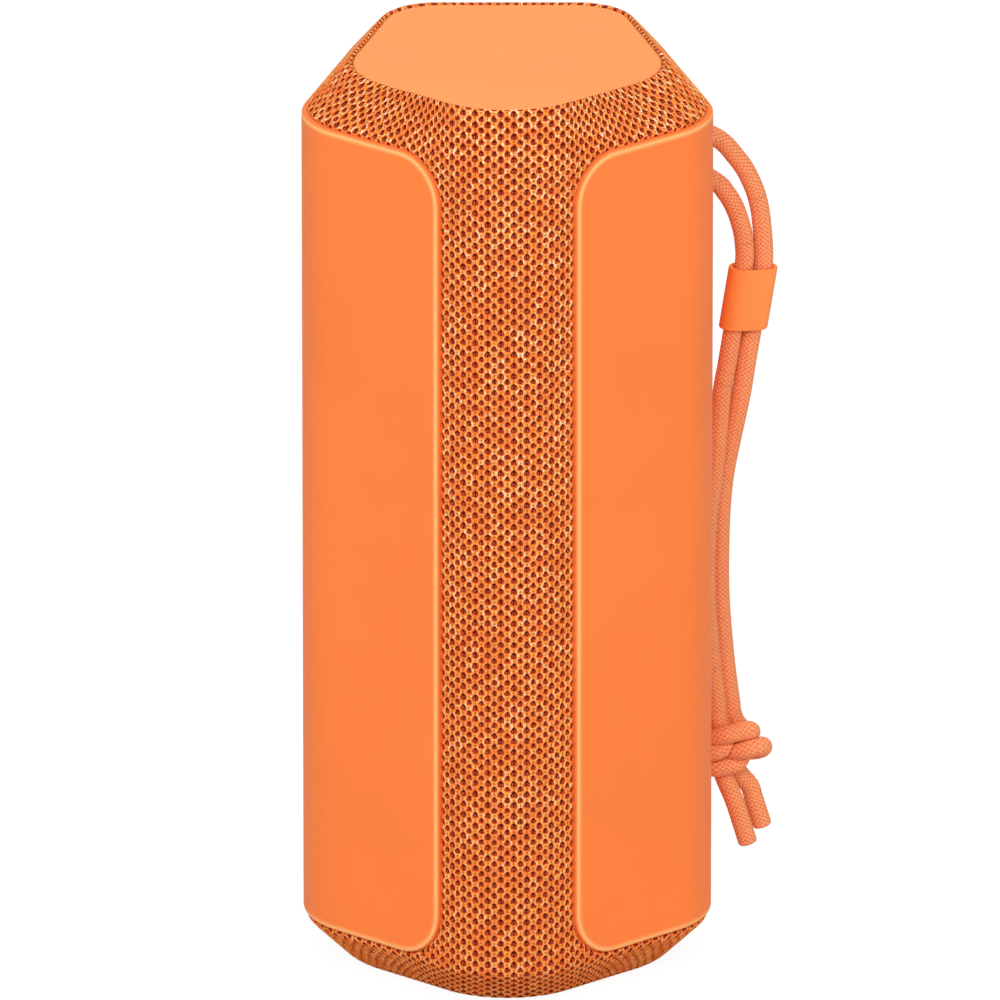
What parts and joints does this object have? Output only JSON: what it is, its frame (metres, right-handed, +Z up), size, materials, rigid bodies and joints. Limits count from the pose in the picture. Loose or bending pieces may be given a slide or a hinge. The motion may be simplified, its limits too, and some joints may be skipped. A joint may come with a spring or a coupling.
{
  "type": "portable speaker",
  "caption": "Upright portable speaker with a knitted cover, two smooth side plates, rear keys and port, and a knotted cord strap with a sliding sleeve.",
  "frame": {"origin": "middle of the body's bounding box at its base, the strap left out", "axes": "+Z up along the tower, -Y towards the rounded front corner, +X to the side the strap hangs at"},
  "size_m": [0.103, 0.0929, 0.204],
  "materials": {
    "panel_plastic": "satin, smooth",
    "end_plastic": "satin, smooth",
    "knit_fabric": "open knit, two colours of thread",
    "braided_cord": "twill braid",
    "housing_plastic": "moulded",
    "black_rubber": "matt",
    "steel": "plain",
    "magnet": "dark coating",
    "board": "solder mask",
    "cell": "shrink sleeve",
    "lens": "clear white"
  },
  "bodies": {
    "speaker": {"baffle": "housing_plastic", "baffle_gasket": "black_rubber", "battery_cell_left": "cell", "battery_cell_right": "cell", "battery_tray": "housing_plastic", "bottom_end_frame": "housing_plastic", "bottom_foot": "panel_plastic", "cabinet_rear": "housing_plastic", "driver_lower_basket": "housing_plastic", "driver_lower_magnet": "magnet", "driver_lower_screw_1": "steel", "driver_lower_screw_2": "steel", "driver_lower_screw_3": "steel", "driver_lower_screw_4": "steel", "driver_lower_surround": "black_rubber", "driver_upper_basket": "housing_plastic", "driver_upper_magnet": "magnet", "driver_upper_screw_1": "steel", "driver_upper_screw_2": "steel", "driver_upper_screw_3": "steel", "driver_upper_screw_4": "steel", "driver_upper_surround": "black_rubber", "fabric_cover": "knit_fabric", "grille_frame": "housing_plastic", "key_board": "board", "line_diffuser": "housing_plastic", "main_board": "board", "port_bezel": "housing_plastic", "radiator_bottom_frame": "housing_plastic", "radiator_bottom_surround": "black_rubber", "radiator_top_frame": "housing_plastic", "radiator_top_surround": "black_rubber", "rear_panel": "panel_plastic", "side_panel_left": "panel_plastic", "side_panel_right": "panel_plastic", "status_lens": "lens", "strap_bar": "steel", "strap_cup": "panel_plastic", "top_end_frame": "housing_plastic", "top_plate": "end_plastic", "usb_port": "steel"},
    "driver_upper_cone": {"driver_upper_cone": "black_rubber"},
    "driver_lower_cone": {"driver_lower_cone": "black_rubber"},
    "radiator_top_plate": {"radiator_top_plate": "steel"},
    "radiator_bottom_plate": {"radiator_bottom_plate": "steel"},
    "port_cover": {"port_cover": "panel_plastic"},
    "strap": {"strap_strand_outer": "braided_cord", "strap_strand_inner": "braided_cord", "strap_knot": "braided_cord"},
    "strap_slider": {"strap_slider": "panel_plastic"},
    "key_power": {"key_power": "panel_plastic"},
    "key_pairing": {"key_pairing": "panel_plastic"},
    "key_link": {"key_link": "panel_plastic"},
    "key_volume_up": {"key_volume_up": "panel_plastic"},
    "key_play": {"key_play": "panel_plastic"},
    "key_volume_down": {"key_volume_down": "panel_plastic"},
    "key_battery": {"key_battery": "panel_plastic"}
  },
  "joints": [
    {"name": "driver_upper_excursion", "type": "slide", "parent": "speaker", "child": "driver_upper_cone", "axis": [0, -1, 0], "range_m": [-0.002, 0.002], "stiffness_N_per_m": 1700, "deforming": ["driver_upper_surround"]},
    {"name": "driver_lower_excursion", "type": "slide", "parent": "speaker", "child": "driver_lower_cone", "axis": [0, -1, 0], "range_m": [-0.002, 0.002], "stiffness_N_per_m": 1700, "deforming": ["driver_lower_surround"]},
    {"name": "radiator_top_excursion", "type": "slide", "parent": "speaker", "child": "radiator_top_plate", "axis": [0, 0, 1], "range_m": [-0.003, 0.003], "stiffness_N_per_m": 1700, "deforming": ["radiator_top_surround"]},
    {"name": "radiator_bottom_excursion", "type": "slide", "parent": "speaker", "child": "radiator_bottom_plate", "axis": [0, 0, -1], "range_m": [-0.003, 0.003], "stiffness_N_per_m": 1700, "deforming": ["radiator_bottom_surround"]},
    {"name": "key_power_press", "type": "slide", "parent": "speaker", "child": "key_power", "axis": [0, -1, 0], "range_m": [0, 0.0008], "stiffness_N_per_m": 1500},
    {"name": "key_pairing_press", "type": "slide", "parent": "speaker", "child": "key_pairing", "axis": [0, -1, 0], "range_m": [0, 0.0008], "stiffness_N_per_m": 1500},
    {"name": "key_link_press", "type": "slide", "parent": "speaker", "child": "key_link", "axis": [0, -1, 0], "range_m": [0, 0.0008], "stiffness_N_per_m": 1500},
    {"name": "key_volume_up_press", "type": "slide", "parent": "speaker", "child": "key_volume_up", "axis": [0, -1, 0], "range_m": [0, 0.0008], "stiffness_N_per_m": 1500},
    {"name": "key_play_press", "type": "slide", "parent": "speaker", "child": "key_play", "axis": [0, -1, 0], "range_m": [0, 0.0008], "stiffness_N_per_m": 1500},
    {"name": "key_volume_down_press", "type": "slide", "parent": "speaker", "child": "key_volume_down", "axis": [0, -1, 0], "range_m": [0, 0.0008], "stiffness_N_per_m": 1500},
    {"name": "key_battery_press", "type": "slide", "parent": "speaker", "child": "key_battery", "axis": [0, -1, 0], "range_m": [0, 0.0008], "stiffness_N_per_m": 1500},
    {"name": "port_cover_hinge", "type": "hinge", "parent": "speaker", "child": "port_cover", "pos_m": [0, 0.046, 0.038], "axis": [-1, 0, 0], "range_deg": [0, 110]},
    {"name": "strap_swing", "type": "hinge", "parent": "speaker", "child": "strap", "pos_m": [0.03609, 0.01405, 0.1804], "axis": [0.2588, -0.9659, 0], "range_deg": [0, 45]},
    {"name": "slider_travel", "type": "slide", "parent": "strap", "child": "strap_slider", "axis": [-0.1575, -0.0414, -0.9866], "range_m": [0, 0.014]}
  ]
}
